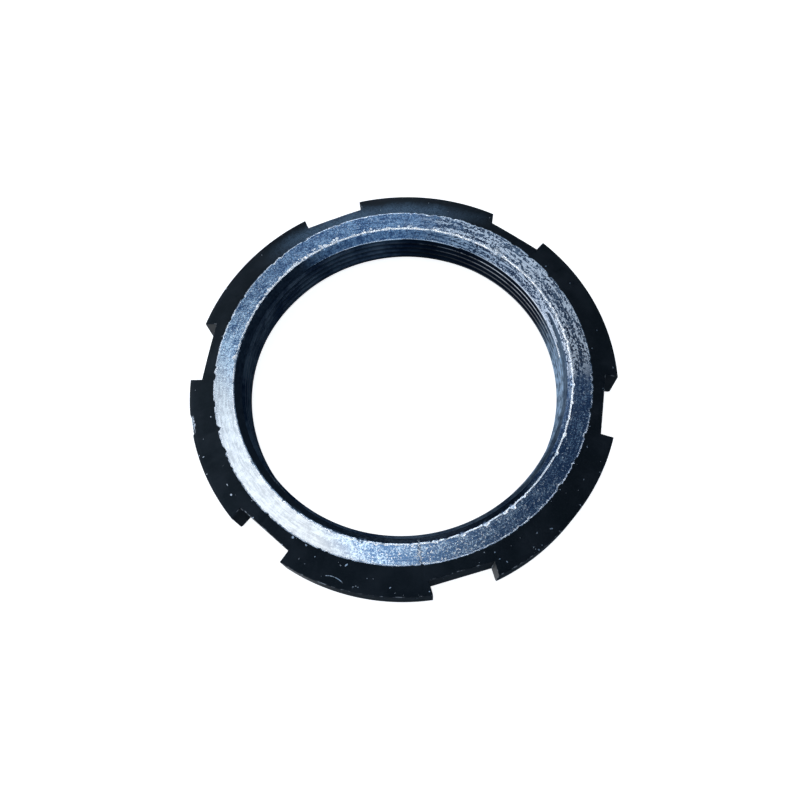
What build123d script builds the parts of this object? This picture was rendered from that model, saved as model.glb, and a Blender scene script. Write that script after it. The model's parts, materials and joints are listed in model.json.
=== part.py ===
from build123d import *
import math
import os

os.makedirs("parts", exist_ok=True)

# Round slotted nut, turned from one piece of steel. It lies flat: the origin is the centre of its
# lower face, and +Z runs up the bore to the face with the coned edge. Its rings are set one outside
# the other, from the thread to the rim, which is 100 mm across.

# The metric thread, bored to its crest diameter, and the countersinks at its two mouths
thread_diameter = 76.0
thread_pitch = 2.0
mouth_relief = 1.1  # how far a countersink opens past the thread, on the radius
mouth_angle = 35.0  # fall of the countersink, from the flat face

# The turned ring round it
nut_height = 12.0
face_width = 4.5  # flat upper ring, from the countersink to the cone
cone_width = 6.4  # cone, from the flat ring to the rim
cone_angle = 20.0  # fall of the cone, from the flat ring
foot_break = 0.5  # small chamfer round the lower outer edge

# The slots for a hook spanner. They were milled one by one and are not quite evenly spaced: each
# angle is that of a slot's middle, in degrees anticlockwise from +X.
slot_angles = (0, 63, 120, 180, 238.5, 295)
slot_width = 14.6
slot_depth = 3.6

# A 60 degree thread form is cut to five eighths of its full height
full_thread_height = thread_pitch / 2 / math.tan(math.radians(30.0))
thread_depth = full_thread_height * 5 / 8

bore_radius = thread_diameter / 2 - thread_depth
mouth_radius = thread_diameter / 2 + mouth_relief
face_radius = mouth_radius + face_width
outer_radius = face_radius + cone_width
slot_floor = outer_radius - slot_depth

mouth_depth = (mouth_radius - bore_radius) * math.tan(math.radians(mouth_angle))
rim_top = nut_height - cone_width * math.tan(math.radians(cone_angle))


def ring_section():
    """One side of the ring's section, from the bore out to the rim, in the XZ plane."""
    with BuildSketch(Plane.XZ) as section:
        with BuildLine():
            Polyline(
                (bore_radius, mouth_depth),
                (mouth_radius, 0),
                (outer_radius - foot_break, 0),
                (outer_radius, foot_break),
                (outer_radius, rim_top),
                (face_radius, nut_height),
                (mouth_radius, nut_height),
                (bore_radius, nut_height - mouth_depth),
                close=True,
            )
        make_face()
    return section.sketch


def slot_outlines():
    """Flat-floored, parallel-sided slots, open at the rim."""
    with BuildSketch(Plane.XY) as outlines:
        for angle in slot_angles:
            with PolarLocations(slot_floor, 1, start_angle=angle):
                Rectangle(2 * slot_depth, slot_width, align=(Align.MIN, Align.CENTER))
    return outlines.sketch


def slotted_nut():
    with BuildPart() as nut:
        add(ring_section())
        revolve(axis=Axis.Z)
        add(slot_outlines())
        extrude(amount=nut_height, mode=Mode.SUBTRACT)
    return nut.part


export_step(slotted_nut(), "parts/slotted_nut.step")
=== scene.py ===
import json
import math

import bmesh
import bpy
from bpy.props import FloatProperty, FloatVectorProperty, IntProperty, PointerProperty
from mathutils import Matrix, Vector, noise


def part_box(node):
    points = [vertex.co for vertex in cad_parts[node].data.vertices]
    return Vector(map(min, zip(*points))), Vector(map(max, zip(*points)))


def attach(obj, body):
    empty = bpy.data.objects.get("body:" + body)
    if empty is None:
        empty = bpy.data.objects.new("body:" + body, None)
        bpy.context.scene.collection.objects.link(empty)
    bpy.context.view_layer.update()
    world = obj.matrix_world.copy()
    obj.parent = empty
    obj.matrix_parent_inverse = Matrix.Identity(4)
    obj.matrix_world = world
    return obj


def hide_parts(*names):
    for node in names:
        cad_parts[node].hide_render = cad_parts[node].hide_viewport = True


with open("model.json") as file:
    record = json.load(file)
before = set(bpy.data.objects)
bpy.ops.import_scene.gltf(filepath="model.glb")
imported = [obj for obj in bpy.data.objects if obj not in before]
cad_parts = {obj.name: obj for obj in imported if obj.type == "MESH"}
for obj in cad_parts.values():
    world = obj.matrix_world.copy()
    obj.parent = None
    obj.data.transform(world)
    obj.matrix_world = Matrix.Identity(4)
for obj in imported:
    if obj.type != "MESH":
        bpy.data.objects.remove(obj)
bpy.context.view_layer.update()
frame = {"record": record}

bl_info = {
    "name": "Slotted round nut",
    "version": (1, 0, 0),
    "blender": (4, 5, 0),
    "location": "View3D > Sidebar > Slotted nut",
    "description": "Makes the finished nut, with its thread, worn edges and blued steel, and its stage",
    "category": "Object",
}

MM = 0.001
NUT_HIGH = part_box("slotted_nut")[1]
THREAD_MOUNT = next(mount for mount in frame["record"]["mounts"] if mount["name"] == "thread")
BORE_RADIUS = THREAD_MOUNT["dims"]["r_mm"] * MM

# The middles of the six slots, in degrees anticlockwise from +X
SLOT_ANGLES = (0, 63, 120, 180, 238.5, 295)

# Finishes of the nut, in the order of its material slots
OXIDE, FACE, THREAD = range(3)

# The way to the key light: to the camera's right, beyond the nut, and up
KEY_PLACE = (-0.158, 0.235, 1.0)

# The room's soft lights: the middle's place, given the same way, the angles from it, in degrees, between
# which the light fades out, and its colour. The table takes away some of the light from below.
SOFT_LIGHTS = {
    "left": ((-0.99, -0.04, -0.11), (0, 68), (1.12, 1.24, 1.42)),
    "beyond": ((0.10, 0.72, 0.69), (17, 26), (0.21, 0.31, 0.43)),
    "near": ((-0.22, -0.61, 0.76), (5, 47), (0.15, 0.23, 0.33)),
    "beside_key": ((-0.24, 0.41, 1.0), (2, 7), (0.2, 0.4, 0.55)),
    "right": ((0.21, 0.53, 1.0), (2, 7), (0.60, 0.57, 0.54)),
    "under": ((-0.57, 0.0, -1.0), (8, 18), (1.3, 1.3, 1.3)),
    "table": ((0.0, 0.0, -1.0), (17, 30), (-0.045, -0.075, -0.115)),
    "horizon": ((0.0, 1.0, 0.02), (6, 16), (0.38, 0.40, 0.42)),
    "far_window": ((-0.05, 0.78, 0.62), (5, 11), (2.8, 2.9, 3.0)),
    "left_window": ((-0.50, 0.45, 0.74), (5, 11), (2.6, 2.7, 2.8)),
    "overhead_window": ((0.05, -0.20, 0.98), (4, 9), (2.6, 2.7, 2.8)),
    "right_window": ((0.44, 0.0, 0.90), (4, 8), (2.6, 2.7, 2.8)),
}

# The way to the side where a blue sheen is painted on the cone next to the face, and the mouth's worn line is
# toothed
SHEEN_AND_TEETH_SIDE = (-0.34, 0.94, 0.0)

# The way to the side of the scuffs, where the upper countersink is left without its painted shade, the thread
# is darker below the mouth, and the bright lines on its crests, worn steel and painted highlights, are
# strongest
SCUFFED_SIDE = (0.64, 0.77, 0.0)

# The way to the side where a paler, greyer colour is painted under the face's highlight, with brush streaks
# rather than grains
PAINTED_HIGHLIGHT_SIDE = (-0.72, -0.69, 0.0)

# The way to the side where the thread stayed clean
CLEAN_SIDE = (1.0, -0.05, 0.0)

# The way to the side of the face with the fewest grains
SPARSE_SIDE = (0.82, -0.57, 0.0)

# Where the face was scuffed most, and where a burr is on its inner edge
SCUFFED_PLACE = (28.0 * MM, 30.0 * MM, 12.0 * MM)
BURR_PLACE = (17.7 * MM, 35.3 * MM, 12.0 * MM)

# A cut across the face: the way to it from the axis, and the way square to it
CUT_SIDE = (0.248, -0.969, 0.0)
CUT_ACROSS = (0.969, 0.248, 0.0)

# Radii between which the finishes change: the countersink's end, the start of the mouth's worn line, the
# middle of the face, the end of the blue sheen painted on the cone, and the start of the rim
SINK_END = (38.9 * MM, 39.0 * MM)
MOUTH_START = (39.0 * MM, 39.1 * MM)
FACE_MIDDLE = (41 * MM, 42 * MM)
SHEEN_END = (43.6 * MM, 49.0 * MM)
RIM_START = (49.0 * MM, 49.3 * MM)

# Heights between which they change: the foot of the cone, the upper end of the thread's darker side, and the
# start of the bright lines on its crests, worn steel and painted highlights
CONE_FOOT = (9.2 * MM, 9.8 * MM)
DARK_SIDE_END = (10.0 * MM, 10.8 * MM)
LINE_START = (4 * MM, 11 * MM)

# The radius that the mouth's worn line reaches, and that of a thinner bright line low in the countersink,
# worn steel and a painted highlight
MOUTH_LINE = 39.26 * MM
LOWER_LINE = 37.38 * MM

# Knocks on the turned edges: how many a metre, and the level of their noise at which nicks and gashes start
FINE_KNOCKS, NICKS, GASHES = 2000.0, 850.0, 400.0
NICK_START, GASH_START = 0.28, 0.40

# Where the rim has a dent, and how far that reaches along it
DENT_PLACE = (-46.5 * MM, -18.4 * MM, 9.7 * MM)
DENT_REACH = 2.6 * MM

# A scratch on the cone: the middle of its arc, its radius and the middle of its length
SCRATCH_CENTRE = (-8.2 * MM, -52.3 * MM, 10.2 * MM)
SCRATCH_RADIUS = 5.0 * MM
SCRATCH_PLACE = (-7.1 * MM, -47.4 * MM, 10.5 * MM)

# How far the thread is turned up, which sets where it runs out, and where the bright line on its crest, worn
# steel and a painted highlight, lies in the rise of one turn, both in pitches. The crest takes up the third
# quarter of that rise.
THREAD_RISE = 0.44
CREST_LINE = 0.68

# Whole pitches that keep the rise above nought all round
WHOLE_PITCHES = 20.0

# The least angles between faces at which an edge is rounded, and at which it is shaded sharp
ROUNDED_ANGLE = math.radians(15)
SHARP_ANGLE = math.radians(40)

# Sectors of the thread, which are copies of the first one
SECTORS = 12


class NutSizes(bpy.types.PropertyGroup):
    """Sizes of the nut that its solid leaves to this script, or that both share."""

    thread_pitch: FloatProperty(
        name="Thread pitch", description="Rise of the thread in one turn", default=2.0 * MM, unit="LENGTH")
    mouth_relief: FloatProperty(
        name="Mouth relief", description="How far a countersink opens past the thread, on the radius",
        default=1.1 * MM, unit="LENGTH")
    mouth_angle: FloatProperty(
        name="Mouth angle", description="Fall of the countersink, from the flat face",
        default=math.radians(35), subtype="ANGLE")
    cone_width: FloatProperty(
        name="Cone width", description="Width of the cone on the radius", default=6.4 * MM, unit="LENGTH")
    cone_angle: FloatProperty(
        name="Cone angle", description="Fall of the cone, from the flat ring",
        default=math.radians(20), subtype="ANGLE")
    foot_break: FloatProperty(
        name="Foot break", description="Chamfer round the lower outer edge", default=0.5 * MM,
        unit="LENGTH")
    slot_width: FloatProperty(
        name="Slot width", description="Width of a spanner slot", default=14.6 * MM, unit="LENGTH")
    slot_depth: FloatProperty(
        name="Slot depth", description="Depth of a spanner slot from the rim", default=3.6 * MM,
        unit="LENGTH")
    edge_round: FloatProperty(
        name="Edge round", description="Reach of the rounding on the turned and milled edges",
        default=0.16 * MM, unit="LENGTH")
    mouth_round: FloatProperty(
        name="Mouth round", description="Reach of the rounding on the face's inner edge", default=0.2 * MM,
        unit="LENGTH")
    mouth_wear: FloatProperty(
        name="Mouth wear", description="How far knocks have pushed the face's inner edge outwards",
        default=0.36 * MM, unit="LENGTH")
    face_wear: FloatProperty(
        name="Face wear", description="How far knocks have pushed the face's outer edge inwards",
        default=0.28 * MM, unit="LENGTH")
    dent_depth: FloatProperty(
        name="Dent", description="Depth of the dent in the rim", default=0.8 * MM, unit="LENGTH")
    turn_steps: IntProperty(
        name="Steps in a turn", description="Facets round the nut, a multiple of twelve", default=960,
        min=60)


class NutColours(bpy.types.PropertyGroup):
    """Colours of the steel's finishes."""

    oxide: FloatVectorProperty(
        name="Oxide", description="Black oxide of the cone, rim and slots",
        default=(0.006, 0.008, 0.011), size=3, min=0, max=1, subtype="COLOR")
    # Paler clouds in the oxide, and the colour of the shade painted into the upper countersink
    oxide_haze_and_sink_shade: FloatVectorProperty(
        name="Oxide haze", description="Paler clouds in the oxide",
        default=(0.014, 0.017, 0.022), size=3, min=0, max=1, subtype="COLOR")
    # Colour of the blue sheen painted on one side of the cone, next to the face
    oxide_blue_sheen: FloatVectorProperty(
        name="Oxide blue", description="Bluer oxide of the cone, next to the face",
        default=(0.10, 0.165, 0.245), size=3, min=0, max=1, subtype="COLOR")
    oxide_gloss: FloatVectorProperty(
        name="Oxide gloss", description="Tint of the oxide's gloss",
        default=(0.55, 0.85, 1.0), size=3, min=0, max=1, subtype="COLOR")
    dark_face: FloatVectorProperty(
        name="Dark face", description="Dark ground of the blued face",
        default=(0.055, 0.12, 0.25), size=3, min=0, max=1, subtype="COLOR")
    pale_face: FloatVectorProperty(
        name="Pale face", description="Pale grains of the blued face",
        default=(0.42, 0.57, 0.74), size=3, min=0, max=1, subtype="COLOR")
    # Paler, greyer steel painted where the face's highlight falls, a painted highlight with brush streaks
    painted_highlight_face: FloatVectorProperty(
        name="Brushed face", description="Steel of the face's brushed side",
        default=(0.33, 0.37, 0.42), size=3, min=0, max=1, subtype="COLOR")
    # Steel worn bright on the edges, and the painted highlights on the thread's crests and low in the
    # countersink
    bare_steel_and_glint: FloatVectorProperty(
        name="Bare steel", description="Steel worn bright on the edges",
        default=(0.80, 0.84, 0.90), size=3, min=0, max=1, subtype="COLOR")


class StageSettings(bpy.types.PropertyGroup):
    """The floor, the light and the camera."""

    floor_radius: FloatProperty(
        name="Floor radius", description="Radius of the round floor", default=6.0, unit="LENGTH")
    floor_colour: FloatVectorProperty(
        name="Floor", description="Colour of the floor", default=(0.85, 0.85, 0.85), size=3, min=0, max=1,
        subtype="COLOR")
    floor_light: FloatProperty(
        name="Floor light", description="Light that the floor gives off itself", default=0.88)
    key_strength: FloatProperty(name="Key light", description="Strength of the soft key light", default=0.31)
    key_size: FloatProperty(
        name="Key size", description="Angle that the key light spans, as the nut sees it",
        default=math.radians(21), subtype="ANGLE")
    key_colour: FloatVectorProperty(
        name="Key light's colour", description="Colour of the soft key light",
        default=(1.0, 0.93, 0.84), size=3, min=0, max=1, subtype="COLOR")
    room_strength: FloatProperty(
        name="Room light", description="Strength of the room's soft lights", default=1.0)
    dim_colour: FloatVectorProperty(
        name="Dim light", description="Colour of the faint light all round",
        default=(0.065, 0.105, 0.155), size=3, min=0, max=1, subtype="COLOR")
    camera_azimuth: FloatProperty(
        name="Camera azimuth", description="Turn of the camera round the nut", default=math.radians(15.21),
        subtype="ANGLE")
    camera_elevation: FloatProperty(
        name="Camera elevation", description="Height of the camera over the floor, as an angle",
        default=math.radians(69.63), subtype="ANGLE")
    camera_roll: FloatProperty(
        name="Camera roll", description="Turn of the camera about its own sight line",
        default=math.radians(-6.61), subtype="ANGLE")
    camera_distance: FloatProperty(
        name="Camera distance", description="From the camera to the point that it looks at",
        default=189.3 * MM, unit="LENGTH")
    aim_height: FloatProperty(
        name="Aim height", description="Height of a point on the nut's axis that the camera is aimed by",
        default=5.0 * MM, unit="LENGTH")
    aim_right: FloatProperty(
        name="Aim right", description="From that point to the one looked at, to the camera's right",
        default=-0.637 * MM, unit="LENGTH")
    aim_up: FloatProperty(
        name="Aim up", description="From that point to the one looked at, upwards in the picture",
        default=-3.398 * MM, unit="LENGTH")
    lens: FloatProperty(name="Lens", description="Focal length in millimetres", default=35.6)


class Value:
    """A shader socket that takes part in arithmetic, each operation adding its Math node."""

    def __init__(self, tree, socket):
        self.tree = tree
        self.socket = socket

    def math(self, operation, first, second):
        return self.tree.node("ShaderNodeMath", {"operation": operation}, {0: first, 1: second})

    def __add__(self, other):
        return self.math("ADD", self, other)

    def __radd__(self, other):
        return self.math("ADD", other, self)

    def __sub__(self, other):
        return self.math("SUBTRACT", self, other)

    def __rsub__(self, other):
        return self.math("SUBTRACT", other, self)

    def __mul__(self, other):
        return self.math("MULTIPLY", self, other)

    def __rmul__(self, other):
        return self.math("MULTIPLY", other, self)

    def __truediv__(self, other):
        return self.math("DIVIDE", self, other)

    def __abs__(self):
        return self.math("ABSOLUTE", self, 0.0)


def uneven(value, grain, reach):
    """The value, moved up and down by the grain, by at most half of reach."""
    return value + reach * (grain - 0.5)


def shade(colour, share):
    """The colour, that many times as bright."""
    return [channel * share for channel in colour]


class Shading:
    """A node tree in the making, with the calls that the finishes and the studio share."""

    def __init__(self, owner):
        owner.use_nodes = True
        self.tree = owner.node_tree
        self.tree.nodes.clear()

    def node(self, kind, settings=None, inputs=None, output=0):
        """Adds a node, sets its settings first and then its sockets, and returns one output."""
        made = self.tree.nodes.new(kind)
        for name, setting in (settings or {}).items():
            setattr(made, name, setting)
        for name, value in (inputs or {}).items():
            if isinstance(value, Value):
                self.tree.links.new(value.socket, made.inputs[name])
            else:
                made.inputs[name].default_value = value
        return Value(self, made.outputs[output])

    def ease(self, value, low, high):
        """Nought below low, one above high, and a smooth slope between."""
        return self.node(
            "ShaderNodeMapRange", {"interpolation_type": "SMOOTHSTEP"},
            {0: value, 1: low, 2: high, 3: 0.0, 4: 1.0})

    def fade(self, value, low, high):
        """One below low, nought above high, and a smooth slope between."""
        return 1 - self.ease(value, low, high)

    def dot(self, first, second):
        """How far the first vector reaches along the second."""
        return self.node(
            "ShaderNodeVectorMath", {"operation": "DOT_PRODUCT"}, {0: first, 1: second}, output="Value")

    def mix(self, share, first, second):
        """The first colour, giving way to the second as share goes from nought to one."""
        first, second = (c if isinstance(c, Value) else (*c, 1.0) for c in (first, second))
        return self.node(
            "ShaderNodeMix", {"data_type": "RGBA", "clamp_factor": True},
            {0: share, 6: first, 7: second}, output=2)

    def add(self, first, second):
        """The sum of two colours."""
        return self.node("ShaderNodeVectorMath", {"operation": "ADD"}, {0: first, 1: second})

    def scaled(self, colour, share):
        """The colour, made weaker or stronger by a share that varies."""
        return self.node("ShaderNodeVectorMath", {"operation": "SCALE"}, {0: colour, "Scale": share})

    def end(self, kind, shader):
        """Joins the shader to the tree's output."""
        out = self.tree.nodes.new(kind)
        self.tree.links.new(shader.socket, out.inputs["Surface"])


class Finish(Shading):
    """A material in the making."""

    def __init__(self, name):
        self.material = bpy.data.materials.new(name)
        super().__init__(self.material)
        self.place = self.node("ShaderNodeTexCoord", output="Object")

    def grain(self, scale, detail=2.0, roughness=0.6, distortion=0.0, place=None):
        """Cloudy noise of that many grains a metre."""
        return self.node(
            "ShaderNodeTexNoise", None,
            {"Vector": place or self.place, "Scale": scale, "Detail": detail, "Roughness": roughness,
             "Distortion": distortion})

    def surface(self, colour, rough, metallic, bumps, specular=0.5, tint=(1.0, 1.0, 1.0), light=0.0):
        """The shader: bumps are pairs of a height and its depth in metres, tint is the gloss's colour, and
        light is what it gives off."""
        normal = None
        for height, depth in bumps:
            inputs = {"Height": height, "Distance": depth, "Strength": 1.0}
            if normal:
                inputs["Normal"] = normal
            normal = self.node("ShaderNodeBump", None, inputs)
        shader = self.node(
            "ShaderNodeBsdfPrincipled", None,
            {"Base Color": colour, "Roughness": rough, "Metallic": metallic, "Specular IOR Level": specular,
             "Specular Tint": (*tint, 1.0), "Emission Color": (1.0, 1.0, 1.0, 1.0),
             "Emission Strength": light, "Normal": normal}, output="BSDF")
        self.end("ShaderNodeOutputMaterial", shader)
        return self.material


class SteelFinish(Finish):
    """A finish of the nut, which goes by the place's axes and by its radius from the bore's axis."""

    def __init__(self, name):
        super().__init__(name)
        self.x, self.y, self.z = (
            self.node("ShaderNodeSeparateXYZ", None, {0: self.place}, output=axis) for axis in range(3))
        squares = self.x * self.x + self.y * self.y
        self.radius = self.node("ShaderNodeMath", {"operation": "SQRT"}, {0: squares})

    def turning(self, around, across, detail=2.0, roughness=0.6, distortion=0.0):
        """Noise drawn out into turning marks, on a place that runs round the axis without a seam: around is
        its marks in a radian, across its marks a metre."""
        turned = self.node(
            "ShaderNodeCombineXYZ", None,
            {0: self.x / self.radius * around, 1: self.y / self.radius * around,
             2: (self.radius + self.z) * across})
        return self.grain(1.0, detail, roughness, distortion, turned)

    def largest(self, first, *others):
        """The largest of some values."""
        for other in others:
            first = self.node("ShaderNodeMath", {"operation": "MAXIMUM"}, {0: first, 1: other})
        return first

    def away(self, place):
        """Distance from a place on the nut."""
        return self.node(
            "ShaderNodeVectorMath", {"operation": "DISTANCE"}, {0: self.place, 1: place}, output="Value")

    def towards(self, side, low, high):
        """Nought up to a distance of low from the axis towards that side, and one beyond high."""
        return self.ease(self.dot(self.place, side), low, high)

    def edge_wear(self):
        """One on the roundings of the edges, nought elsewhere."""
        return self.node("ShaderNodeAttribute", {"attribute_name": "worn_edge"}, output="Fac")


def black_oxide(colours):
    """Near-black satin oxide of the cone, rim, slots and underside, with bright pits, a dent, a scratch, its
    edges a little worn, and a painted blue sheen on one side of the cone, next to the face."""
    finish = SteelFinish("black_oxide")
    marks = finish.turning(9.0, 5000.0, detail=3.0)
    cloud = finish.grain(130.0, detail=3.0)
    fine = finish.grain(2600.0)
    on_cone = finish.ease(finish.z, *CONE_FOOT)

    # Hazy oxide, with a painted blue sheen on one side of the cone, next to the face
    near_face = finish.fade(uneven(finish.radius, cloud, 6 * MM), *SHEEN_END)
    # The share of the painted blue sheen
    blued = near_face * finish.towards(SHEEN_AND_TEETH_SIDE, 34 * MM, 46.5 * MM) * (0.5 + finish.ease(fine, 0.38, 0.62))
    dark = finish.mix(finish.ease(cloud, 0.4, 0.7), colours.oxide, colours.oxide_haze_and_sink_shade)
    dark = finish.mix(blued * on_cone, dark, colours.oxide_blue_sheen)
    dark = finish.mix(finish.ease(fine, 0.5, 0.75) * 0.6, dark, colours.oxide_haze_and_sink_shade)

    # Bare steel: the worn edges, the pits, which are more on the cone where the face is cut, the dent and
    # the scratch
    worn = finish.edge_wear() * finish.ease(finish.grain(500.0, detail=4.0, roughness=0.7), 0.52, 0.62)
    pits = finish.grain(950.0, detail=1.0, roughness=0.5)
    pits = finish.ease(pits + 0.04 * on_cone * finish.towards(CUT_SIDE, 5 * MM, 40 * MM), 0.77, 0.79)
    dent = finish.fade(uneven(finish.away(DENT_PLACE), fine, 4 * MM), DENT_REACH - 0.8 * MM, DENT_REACH)
    dent = dent * finish.ease(fine, 0.45, 0.5)
    dent = dent * finish.ease(uneven(finish.radius, fine, 1.5 * MM), *RIM_START)
    arc = abs(finish.away(SCRATCH_CENTRE) - SCRATCH_RADIUS)
    scratch = finish.fade(arc, 0.04 * MM, 0.10 * MM) * finish.ease(fine, 0.38, 0.55)
    scratch = scratch * finish.fade(finish.away(SCRATCH_PLACE), 1.6 * MM, 2.4 * MM)
    bare = finish.largest(worn * 0.4, pits, dent * 0.7, scratch)
    colour = finish.mix(bare, dark, colours.bare_steel_and_glint)
    rough = 0.32 + 0.14 * cloud + 0.08 * fine - 0.15 * bare
    bumps = [(marks, 0.004 * MM), (fine, 0.012 * MM), (pits, 0.09 * MM)]
    return finish.surface(colour, rough, bare, bumps, specular=0.13, tint=colours.oxide_gloss)


def blued_face(colours):
    """Blued steel of the turned face and upper countersink: pale grains on a blue ground, rows of scuffs on
    one side, faint turning marks, edges worn bright, with lines low in the countersink that are also painted
    highlights, a paler painted highlight with brush streaks on another side, and painted shade that darkens
    the countersink but on the side of the scuffs."""
    finish = SteelFinish("blued_face")
    radius = finish.radius
    marks = finish.turning(5.0, 5200.0)
    rows = finish.turning(9.0, 2500.0)
    streaks = finish.turning(14.0, 3300.0, detail=3.0)
    bands = finish.turning(3.0, 1400.0, detail=1.0, roughness=0.5)
    cloud = finish.grain(110.0, detail=3.0)
    patches = finish.grain(450.0)
    speckle = finish.grain(2500.0, detail=3.0, roughness=0.65, distortion=0.5)
    jitter = finish.grain(1300.0, detail=3.0, roughness=0.7)

    # Blue ground and pale grains
    scuffed = finish.fade(uneven(finish.away(SCUFFED_PLACE), cloud, 30 * MM), 20 * MM, 38 * MM)
    sparse = finish.towards(SPARSE_SIDE, 12 * MM, 38 * MM)
    tone = 0.55 * speckle + 0.25 * patches + 0.2 * rows - 0.05 * sparse
    ground = finish.mix(scuffed * 0.85, colours.dark_face, shade(colours.dark_face, 0.15))
    colour = finish.mix(finish.ease(tone, 0.42, 0.59) * (1 - 0.75 * scuffed), ground, colours.pale_face)
    colour = finish.mix(finish.ease(streaks, 0.55, 0.72) * 0.3, colour, colours.pale_face)

    # The side under the highlight: a paler, greyer colour painted there as a highlight, with brush streaks
    brushed_and_highlight = finish.towards(PAINTED_HIGHLIGHT_SIDE, 28 * MM, 37 * MM)
    streaked = finish.mix(
        finish.ease(0.6 * streaks + 0.4 * patches, 0.38, 0.60), shade(colours.painted_highlight_face, 0.8),
        shade(colours.painted_highlight_face, 1.12))
    colour = finish.mix(brushed_and_highlight * 0.85, colour, streaked)

    # Scuffs in rows and bands, and fine bright specks
    sunk = finish.fade(radius, *SINK_END)
    scuffs = uneven(uneven(finish.turning(60.0, 2300.0, distortion=0.5), rows, 0.6), bands, 0.5)
    scuffs = finish.ease(scuffs, 0.50, 0.55) * scuffed * (1 - 0.1 * sunk)
    specks = finish.ease(finish.grain(2100.0), 0.60, 0.65)
    scuffs = finish.largest(scuffs, specks * 0.6 * (1 - brushed_and_highlight))
    colour = finish.mix(scuffs, colour, colours.bare_steel_and_glint)

    # Painted shade: the countersink is darkened towards the oxide's haze, but not on the side of the scuffs
    black = sunk * (1 - finish.towards(SCUFFED_SIDE, -1 * MM, 8 * MM))
    colour = finish.mix(black * 0.85, colour, colours.oxide_haze_and_sink_shade)

    # Worn edges: the mouth, toothed on one side, and the outer edge; and bright lines of worn steel that are
    # also painted highlights, at the countersink's edge to the thread and low in the countersink on the cut's
    # side
    edge = finish.edge_wear()
    inner = finish.fade(radius, *FACE_MIDDLE)
    teeth = finish.ease(finish.grain(700.0, detail=3.0, roughness=0.7), 0.50, 0.66)
    teeth = teeth * finish.towards(SHEEN_AND_TEETH_SIDE, 5 * MM, 30 * MM)
    reach = uneven(MOUTH_LINE, jitter, 0.8 * MM) + 1.1 * MM * teeth + 0.3 * MM * scuffed
    mouth = finish.fade(radius - reach, 0.0, 0.08 * MM) * finish.ease(radius, *MOUTH_START)
    mouth = finish.largest(mouth, edge * inner)
    lower = finish.fade(uneven(radius, jitter, 0.3 * MM), BORE_RADIUS + 0.10 * MM, BORE_RADIUS + 0.24 * MM)
    start = finish.fade(abs(uneven(radius - LOWER_LINE, jitter, 0.3 * MM)), 0.05 * MM, 0.12 * MM)
    start = start * finish.towards(CUT_SIDE, 8 * MM, 28 * MM)
    outer = edge * (1 - inner) * (0.35 + 0.65 * finish.ease(jitter, 0.45, 0.6))

    # The burr and the cut
    burr = finish.fade(uneven(finish.away(BURR_PLACE), jitter, 3 * MM), 0.9 * MM, 1.3 * MM)
    across = finish.dot(finish.place, CUT_ACROSS)
    cut = finish.fade(abs(uneven(across, jitter, 2 * MM)), 0.12 * MM, 0.3 * MM)
    cut = cut * finish.towards(CUT_SIDE, 38 * MM, 39 * MM) * finish.ease(speckle, 0.38, 0.48)
    mark = finish.largest(burr * finish.ease(jitter, 0.4, 0.5), cut)

    worn = finish.largest(mouth, mark, finish.largest(lower, start) * 0.9, outer)
    colour = finish.mix(worn, colour, colours.bare_steel_and_glint)
    rough = 0.14 + 0.10 * tone + 0.08 * finish.largest(scuffs, worn)
    bumps = [
        (marks, 0.004 * MM), (speckle, 0.009 * MM), (streaks, 0.01 * MM), (jitter * worn, 0.05 * MM),
        (speckle * worn, 0.03 * MM), (speckle * mark, 0.10 * MM)]
    return finish.surface(colour, rough, 1.0, bumps)


def thread_steel(colours, pitch):
    """Dark steel of the thread and lower countersink, darker on one side, with thin bright lines on the
    thread's upper crests, worn steel and painted highlights, most on the side of the scuffs."""
    finish = SteelFinish("thread_steel")
    marks = finish.turning(7.0, 6000.0)
    rows = finish.turning(20.0, 2600.0, detail=3.0)
    fine = finish.grain(2200.0)
    cloud = finish.grain(150.0, detail=3.0)
    blotches = uneven(cloud, fine, 0.3)

    # Dark steel, darker still on one side below the mouth, and clean on another, but for the grooves
    colour = finish.mix(
        finish.ease(blotches, 0.3, 0.7), shade(colours.dark_face, 0.2), shade(colours.pale_face, 0.2))
    darker_side = finish.towards(SCUFFED_SIDE, 18 * MM, 30 * MM) * finish.fade(finish.z, *DARK_SIDE_END)
    colour = finish.mix(darker_side * 0.9, colour, shade(colours.dark_face, 0.06))
    groove = finish.ease(
        uneven(finish.radius, marks, 0.3 * MM), BORE_RADIUS + 0.1 * MM, BORE_RADIUS + 0.5 * MM)
    clean = finish.towards(CLEAN_SIDE, 28 * MM, 36 * MM) * (1 - 0.8 * groove)
    colour = finish.mix(clean * (0.25 + 0.75 * finish.ease(rows, 0.38, 0.6)), colour, colours.pale_face)

    # The crest's bright line, worn steel and a painted highlight where the crest's edge catches the light,
    # goes by the rise in each turn, from nought to one
    turn = finish.node("ShaderNodeMath", {"operation": "ARCTAN2"}, {0: finish.y, 1: finish.x}) / math.tau
    rise = finish.z / pitch - turn + WHOLE_PITCHES - THREAD_RISE
    rise = finish.node("ShaderNodeMath", {"operation": "FRACT"}, {0: rise})
    line = finish.fade(abs(rise - CREST_LINE), 0.03, 0.09)
    line = line * finish.fade(finish.radius, BORE_RADIUS + 0.15 * MM, BORE_RADIUS + 0.3 * MM)
    line = line * finish.ease(blotches, 0.35, 0.55)
    line = line * (0.25 + 0.75 * finish.towards(SCUFFED_SIDE, 20 * MM, 35 * MM))
    line = line * finish.ease(finish.z, *LINE_START)
    colour = finish.mix(line * 0.9, colour, colours.bare_steel_and_glint)
    rough = 0.28 + 0.16 * cloud
    return finish.surface(colour, rough, 1.0, [(marks, 0.004 * MM), (fine, 0.006 * MM)])


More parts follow.
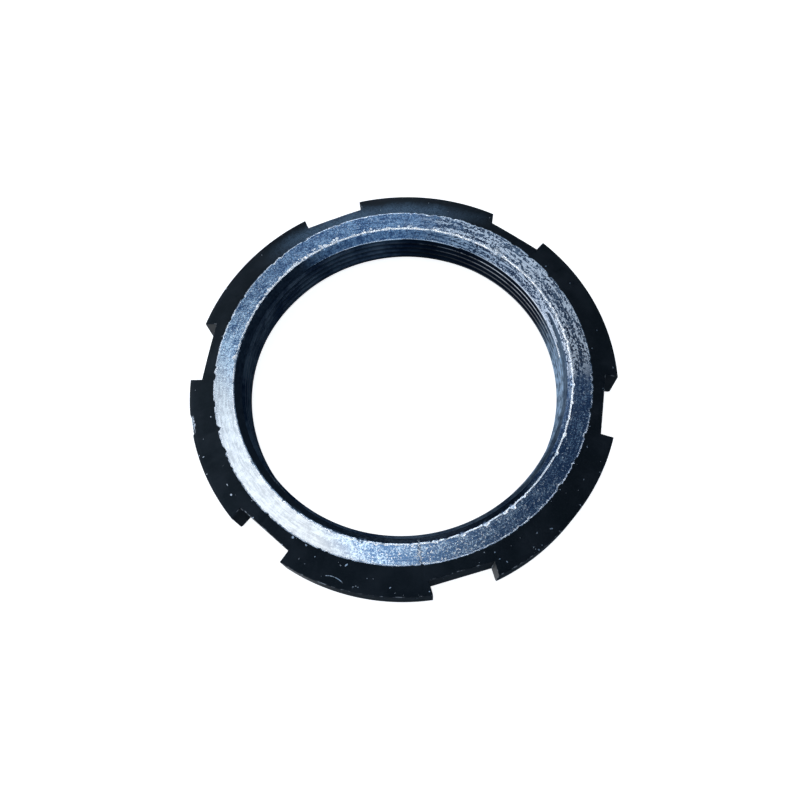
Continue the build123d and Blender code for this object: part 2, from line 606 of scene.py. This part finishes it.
def floor_paint(stage):
    """Plain pale floor with a faint unevenness."""
    finish = Finish("floor_paint")
    cloud = finish.grain(3.0, roughness=0.5)
    colour = finish.mix(cloud, stage.floor_colour, shade(stage.floor_colour, 0.98))
    return finish.surface(colour, 0.9, 0.0, [(cloud, 0.01 * MM)], light=stage.floor_light)


class Nut:
    """The nut's working sizes, from the frame and the settings."""

    def __init__(self, sizes):
        self.sizes = sizes
        self.height = NUT_HIGH[2]
        self.rim_radius = NUT_HIGH[1]
        self.pitch = sizes.thread_pitch

        # A 60 degree thread form, cut to five eighths of its full height
        full_thread_height = self.pitch / 2 / math.tan(math.radians(30))
        self.thread_radius = BORE_RADIUS + full_thread_height * 5 / 8

        self.mouth_radius = self.thread_radius + sizes.mouth_relief
        self.face_radius = self.rim_radius - sizes.cone_width
        self.rim_top = self.height - sizes.cone_width * math.tan(sizes.cone_angle)
        self.slot_floor = self.rim_radius - sizes.slot_depth
        self.lip = 0.3 * MM  # depth at which the countersinks pass from the bore's mesh to the ring's
        self.rim_margin = 1.4 * MM  # from the rim's edge to the next rings of points

    def cone_radius(self, depth):
        """Radius of a countersink at that depth under its face."""
        return self.mouth_radius - depth / math.tan(self.sizes.mouth_angle)


def thread_wall(bm, nut):
    """The bore's wall: a zigzag of crests and grooves, turned up by a pitch in each turn."""
    # Heights that make up a pitch, with a flank on each side of the root
    crest, flank, root = nut.pitch / 4, nut.pitch * 5 / 16, nut.pitch / 8
    groove = nut.thread_radius - BORE_RADIUS
    profile = ((0, crest), (groove, flank), (0, root), (-groove, flank))
    spare_turns = 2
    last = bm.verts.new((BORE_RADIUS, 0, nut.pitch * (THREAD_RISE - spare_turns / 2 - 0.5)))
    for _ in range(math.ceil(nut.height / nut.pitch) + spare_turns):
        for outward, upward in profile:
            here = bm.verts.new(last.co + Vector((outward, 0, upward)))
            bm.edges.new((last, here))
            last = here

    # All but the roots are cut in four, so that the thread and its finish run out finely at the mouths
    wide = [e for e in bm.edges if e.calc_length() > root * 1.5]
    bmesh.ops.subdivide_edges(bm, edges=wide, cuts=3)

    # One sector is turned step by step, and the others are its copies
    steps = nut.sizes.turn_steps // SECTORS
    bmesh.ops.spin(
        bm, geom=bm.verts[:] + bm.edges[:], cent=(0, 0, 0), axis=(0, 0, 1),
        dvec=(0, 0, nut.pitch / SECTORS / steps), angle=math.tau / SECTORS, steps=steps, use_merge=False)
    sector = bm.verts[:] + bm.edges[:] + bm.faces[:]
    for number in range(1, SECTORS):
        copied = bmesh.ops.duplicate(bm, geom=sector)["geom"]
        verts = [g for g in copied if isinstance(g, bmesh.types.BMVert)]
        turn = Matrix.Rotation(math.tau * number / SECTORS, 3, "Z")
        bmesh.ops.rotate(bm, verts=verts, cent=(0, 0, 0), matrix=turn)
        bmesh.ops.translate(bm, verts=verts, vec=(0, 0, nut.pitch * number / SECTORS))
    bmesh.ops.remove_doubles(bm, verts=bm.verts[:], dist=0.001 * MM)


def widen(vert, share):
    """Moves a point away from the nut's axis, or towards it where the share is below one."""
    vert.co.x *= share
    vert.co.y *= share


def open_mouths(bm, nut):
    """Countersinks both mouths, by moving the thread out to their cones."""
    for vert in bm.verts:
        depth = min(vert.co.z, nut.height - vert.co.z)
        radius = math.hypot(vert.co.x, vert.co.y)
        widen(vert, max(nut.cone_radius(depth) / radius, 1.0))


def trim(bm, height, keep_below):
    """Cuts the bore's mesh off at that height and returns the cut's edges."""
    cut = bmesh.ops.bisect_plane(
        bm, geom=bm.verts[:] + bm.edges[:] + bm.faces[:], dist=0.0001 * MM, plane_co=(0, 0, height),
        plane_no=(0, 0, 1), clear_outer=keep_below, clear_inner=not keep_below)
    return [g for g in cut["geom_cut"] if isinstance(g, bmesh.types.BMEdge)]


def ring_out(bm, edges, radius, height, finish, worn, is_edge=False):
    """Draws a loop of edges out to another ring of that radius and height, and returns its edges."""
    made = bmesh.ops.extrude_edge_only(bm, edges=edges)["geom"]
    verts = [g for g in made if isinstance(g, bmesh.types.BMVert)]
    was = verts[0].co
    grow = radius / math.hypot(was.x, was.y)
    rise = height - was.z
    bmesh.ops.scale(bm, vec=(grow, grow, 1), verts=verts)
    bmesh.ops.translate(bm, vec=(0, 0, rise), verts=verts)
    for face in made:
        if isinstance(face, bmesh.types.BMFace):
            face.material_index = finish
            for loop in face.loops:
                loop[worn] = float(is_edge)
    ring = set(verts)
    return [g for g in made if isinstance(g, bmesh.types.BMEdge) and ring.issuperset(g.verts)]


def rounded(before, corner, after, reach):
    """Three points of a small rounding that takes a section's corner away."""
    before, corner, after = Vector(before), Vector(corner), Vector(after)
    first = corner + (before - corner).normalized() * reach
    last = corner + (after - corner).normalized() * reach
    return [first, (first + last) / 4 + corner / 2, last]


def knock(edges, depth):
    """Roughens a turned edge: pushes its points off the axis, or towards it where depth is negative. A nick
    is short and a gash is longer and deeper."""
    for vert in {v for e in edges for v in e.verts}:
        radius = vert.co.xy.length
        place = Vector((vert.co.x, vert.co.y, depth))
        fine = noise.noise(place * FINE_KNOCKS)
        nick = max(noise.noise(place * NICKS) - NICK_START, 0.0) / (1 - NICK_START)
        gash = min(max(noise.noise(place * GASHES) - GASH_START, 0.0) * 8, 1.0)
        widen(vert, 1 + depth * (0.3 * fine + min(4 * nick, 1.0) + 1.2 * gash) / radius)


def lathe_ring(bm, nut, upper, lower, worn):
    """The turned ring, drawn out from the two mouths over the face, cone, rim and foot."""
    sizes = nut.sizes
    lip = (nut.cone_radius(nut.lip), nut.height - nut.lip)
    mouth = (nut.mouth_radius, nut.height)
    face = (nut.face_radius, nut.height)
    rim = (nut.rim_radius, nut.rim_top)
    foot_side = (nut.rim_radius, sizes.foot_break)
    foot = (nut.rim_radius - sizes.foot_break, 0.0)
    join = (foot[0] - sizes.cone_width, 0.0)
    beside_rim = Vector(rim) + (Vector(face) - Vector(rim)) * nut.rim_margin / sizes.cone_width
    under_rim = Vector(rim) - Vector((0, nut.rim_margin))
    sections = [
        (rounded(lip, mouth, face, sizes.mouth_round), FACE, sizes.mouth_wear),
        (rounded(mouth, face, rim, sizes.edge_round), FACE, -sizes.face_wear),
        ((beside_rim, rim, under_rim, foot_side, foot), OXIDE, 0.0),
    ]
    knocked = []
    for points, finish, wear in sections:
        for number, (radius, height) in enumerate(points):
            upper = ring_out(bm, upper, radius, height, finish, worn, is_edge=wear != 0 and number > 0)
            if wear:
                knocked.append((upper, wear))
    lower_lip = (nut.cone_radius(nut.lip), nut.lip)
    for radius, height in rounded(lower_lip, (nut.mouth_radius, 0.0), join, sizes.edge_round):
        lower = ring_out(bm, lower, radius, height, OXIDE, worn)
    made = bmesh.ops.bridge_loops(bm, edges=upper + lower)["faces"]
    for new in made:
        new.material_index = OXIDE
    for edges, wear in knocked:
        knock(edges, wear)


def cut_slot(bm, nut, angle):
    """Mills one slot: slices its floor and sides into the ring, takes the waste out and fills the walls."""
    outward = Vector((math.cos(angle), math.sin(angle), 0))
    across = Vector((-outward.y, outward.x, 0))
    half = nut.sizes.slot_width / 2
    sliced = half * 1.15  # how far to each side of the slot's middle faces are sliced
    close = 0.002 * MM  # how far off a plane a point still counts as on it
    window = math.tau / nut.sizes.turn_steps / 2 * nut.rim_radius  # half a facet of the rim

    # The ring's points next to a side are brought onto it, so that no slivers are cut
    for vert in bm.verts:
        side = vert.co.dot(across)
        if vert.co.dot(outward) > nut.slot_floor and abs(abs(side) - half) < window:
            radius = math.hypot(vert.co.x, vert.co.y)
            place = outward * math.sqrt(radius ** 2 - half ** 2) + across * math.copysign(half, side)
            vert.co.x, vert.co.y = place.xy

    def once(parts):
        """Each part once, in an order that stays the same from run to run, which a set's doesn't."""
        return list(dict.fromkeys(parts))

    def slice_up(faces, offset, normal):
        """Cuts those faces along a plane, and returns them with the ones that it makes."""
        geom = once([*faces, *(e for f in faces for e in f.edges), *(v for f in faces for v in f.verts)])
        cut = bmesh.ops.bisect_plane(
            bm, geom=geom, dist=close / 10, plane_co=normal * offset, plane_no=normal)
        return once([*faces, *(f for g in cut["geom_cut"] for f in g.link_faces)])

    # The faces in the slot and a little beside it are sliced, and those in it are taken out
    faces = [
        f for f in bm.faces
        if any(v.co.dot(outward) > nut.slot_floor and abs(v.co.dot(across)) < sliced for v in f.verts)]
    for side in (-half, half):
        faces = slice_up(faces, side, across)
    faces = [f for f in faces if abs(f.calc_center_median().dot(across)) < half]
    faces = slice_up(faces, nut.slot_floor, outward)
    middles = {f: f.calc_center_median() for f in faces}
    waste = [f for f, m in middles.items() if m.dot(outward) > nut.slot_floor and abs(m.dot(across)) < half]
    bmesh.ops.delete(bm, geom=waste, context="FACES")

    def off_corner(vert):
        """How far a point is off a corner of the slot's floor and sides."""
        return max(abs(vert.co.dot(outward) - nut.slot_floor), abs(abs(vert.co.dot(across)) - half))

    # The points next to a corner go into it
    beside = [v for v in bm.verts if off_corner(v) < window * 2]
    corners = [v for v in beside if off_corner(v) < close]
    joined = {
        v: corner for corner in corners for v in beside
        if v not in corners and (v.co - corner.co).length < window * 1.3}
    bmesh.ops.weld_verts(bm, targetmap=joined)

    # The corners' edges are added, and the floor and the two sides filled
    hole = [e for e in bm.edges if e.is_boundary]
    for side in (-1, 1):
        pair = [v for v in corners if v.co.dot(across) * side > 0]
        hole.append(bm.edges.new(pair))
    for offset, normal in ((nut.slot_floor, outward), (half, across), (-half, across)):
        outline = [e for e in hole if all(abs(v.co.dot(normal) - offset) < close for v in e.verts)]
        for wall in bmesh.ops.contextual_create(bm, geom=outline)["faces"]:
            wall.material_index = OXIDE


def soften_edges(bm, nut, worn):
    """Breaks the sharp edges of the rim, the foot and the slots."""
    def is_outside(edge):
        """Whether an edge is on the rim or in a slot, clear of the face and the bore."""
        return min(v.co.xy.length for v in edge.verts) > nut.slot_floor - nut.lip

    edges = [e for e in bm.edges if is_outside(e) and e.calc_face_angle(0.0) > ROUNDED_ANGLE]
    made = bmesh.ops.bevel(
        bm, geom=edges, offset=nut.sizes.edge_round, offset_type="OFFSET", affect="EDGES", segments=2,
        profile=0.5, material=-1, clamp_overlap=True)
    for face in made["faces"]:
        is_narrow = face.calc_area() < nut.sizes.edge_round * max(e.calc_length() for e in face.edges)
        for loop in face.loops:
            loop[worn] = float(is_narrow)


def dent_rim(bm, nut):
    """Knocks a ragged dent into the rim's upper edge."""
    edge_start = nut.rim_radius - nut.rim_margin / 2
    edge_foot = nut.rim_top - nut.rim_margin / 2
    for vert in bm.verts:
        radius = vert.co.xy.length
        away = (vert.co - Vector(DENT_PLACE)).length
        if radius > edge_start and vert.co.z > edge_foot and away < DENT_REACH:
            share = min((1 - away / DENT_REACH) * 2.5, 1.0)
            rough = 0.6 + 0.8 * noise.noise(vert.co * FINE_KNOCKS)
            widen(vert, 1 - nut.sizes.dent_depth * share * rough / radius)


def finish_piece(name, bm, materials):
    """Makes an object of the mesh, at the origin."""
    bmesh.ops.recalc_face_normals(bm, faces=bm.faces[:])
    mesh = bpy.data.meshes.new(name)
    bm.to_mesh(mesh)
    bm.free()
    for polygon in mesh.polygons:
        polygon.use_smooth = True
    mesh.set_sharp_from_angle(angle=SHARP_ANGLE)
    for material in materials:
        mesh.materials.append(material)
    piece = bpy.data.objects.new(name, mesh)
    bpy.context.scene.collection.objects.link(piece)
    return piece


def studio(stage, turn):
    """The room: dim, with its soft lights, and a pale backdrop that only the camera sees."""
    world = bpy.data.worlds.new("studio")
    room = Shading(world)
    place = room.node("ShaderNodeTexCoord", output="Generated")
    light = stage.dim_colour
    for middle, (inner, outer), colour in SOFT_LIGHTS.values():
        facing = room.dot(place, turn @ Vector(middle).normalized())
        share = room.ease(facing, math.cos(math.radians(outer)), math.cos(math.radians(inner)))
        light = room.add(light, room.scaled(colour, share * stage.room_strength))
    looked_at = room.node("ShaderNodeLightPath", output="Is Camera Ray")
    seen = room.mix(looked_at, light, stage.floor_colour)
    room.end("ShaderNodeOutputWorld", room.node("ShaderNodeBackground", None, {"Color": seen}))
    return world


def key_light(stage, turn):
    """The soft key light."""
    key = bpy.data.lights.new("key", "SUN")
    key.energy = stage.key_strength
    key.angle = stage.key_size
    key.color = stage.key_colour
    lamp = bpy.data.objects.new("key", key)
    lamp.rotation_euler = (turn @ Vector(KEY_PLACE)).to_track_quat("Z", "Y").to_euler()
    bpy.context.scene.collection.objects.link(lamp)


def camera_eye(stage):
    """The camera, at its angles and its distance from the point that it looks at."""
    camera = bpy.data.cameras.new("camera")
    camera.lens = stage.lens
    camera.clip_start = 5 * MM
    camera.clip_end = 50.0
    eye = bpy.data.objects.new("camera", camera)
    azimuth, elevation = stage.camera_azimuth, stage.camera_elevation
    level_share = math.cos(elevation)
    back = Vector((math.sin(azimuth) * level_share, -math.cos(azimuth) * level_share, math.sin(elevation)))
    level = Vector((math.cos(azimuth), math.sin(azimuth), 0))
    right = Matrix.Rotation(stage.camera_roll, 3, back) @ level
    up = back.cross(right)
    aim = Vector((0, 0, stage.aim_height)) + right * stage.aim_right + up * stage.aim_up
    place = Matrix((right, up, back)).transposed().to_4x4()
    place.translation = aim + back * stage.camera_distance
    eye.matrix_world = place
    bpy.context.scene.collection.objects.link(eye)
    return eye


class NUT_OT_make(bpy.types.Operator):
    """Make the finished nut in place of its plain solid"""

    bl_idname = "slotted_nut.make"
    bl_label = "Make the nut"

    def execute(self, context):
        nut = Nut(context.scene.nut_sizes)
        bm = bmesh.new()
        worn = bm.loops.layers.float.new("worn_edge")
        thread_wall(bm, nut)
        open_mouths(bm, nut)
        lower = trim(bm, nut.lip, keep_below=False)
        upper = trim(bm, nut.height - nut.lip, keep_below=True)

        # The upper countersink has the face's finish
        for face in bm.faces:
            middle = face.calc_center_median()
            off_cone = middle.xy.length - nut.cone_radius(nut.height - middle.z)
            face.material_index = FACE if abs(off_cone) < nut.lip / 10 else THREAD

        lathe_ring(bm, nut, upper, lower, worn)
        for angle in SLOT_ANGLES:
            cut_slot(bm, nut, math.radians(angle))
        soften_edges(bm, nut, worn)
        dent_rim(bm, nut)
        colours = context.scene.nut_colours
        materials = [black_oxide(colours), blued_face(colours), thread_steel(colours, nut.pitch)]
        piece = finish_piece("nut_body", bm, materials)
        smooth = piece.modifiers.new("weighted_normals", "WEIGHTED_NORMAL")
        smooth.keep_sharp = True
        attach(piece, "root")
        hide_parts("slotted_nut")
        return {"FINISHED"}


class NUT_OT_stage(bpy.types.Operator):
    """Set the floor, the light and the camera"""

    bl_idname = "slotted_nut.stage"
    bl_label = "Set the stage"

    def execute(self, context):
        stage = context.scene.nut_stage
        scene = context.scene
        scene.view_settings.view_transform = "Standard"

        bm = bmesh.new()
        bmesh.ops.create_circle(bm, cap_ends=True, segments=96, radius=stage.floor_radius)
        floor = finish_piece("floor", bm, [floor_paint(stage)])
        floor.visible_glossy = False

        # The key light and the room are turned with the camera
        turn = Matrix.Rotation(stage.camera_azimuth, 3, "Z")
        key_light(stage, turn)
        scene.world = studio(stage, turn)
        scene.camera = camera_eye(stage)
        return {"FINISHED"}


class NUT_PT_panel(bpy.types.Panel):
    """The nut's operators and settings in the sidebar"""

    bl_label = "Slotted nut"
    bl_idname = "NUT_PT_panel"
    bl_space_type = "VIEW_3D"
    bl_region_type = "UI"
    bl_category = "Slotted nut"

    def draw(self, context):
        layout = self.layout
        for group in (context.scene.nut_sizes, context.scene.nut_colours, context.scene.nut_stage):
            for name in group.__annotations__:
                layout.prop(group, name)
        layout.operator(NUT_OT_make.bl_idname)
        layout.operator(NUT_OT_stage.bl_idname)


CLASSES = (NutSizes, NutColours, StageSettings, NUT_OT_make, NUT_OT_stage, NUT_PT_panel)


def register():
    for item in CLASSES:
        bpy.utils.register_class(item)
    bpy.types.Scene.nut_sizes = PointerProperty(type=NutSizes)
    bpy.types.Scene.nut_colours = PointerProperty(type=NutColours)
    bpy.types.Scene.nut_stage = PointerProperty(type=StageSettings)


def unregister():
    del bpy.types.Scene.nut_stage
    del bpy.types.Scene.nut_colours
    del bpy.types.Scene.nut_sizes
    for item in reversed(CLASSES):
        bpy.utils.unregister_class(item)


def main():
    register()
    bpy.ops.slotted_nut.make()
    bpy.ops.slotted_nut.stage()


if __name__ == "__main__":
    main()
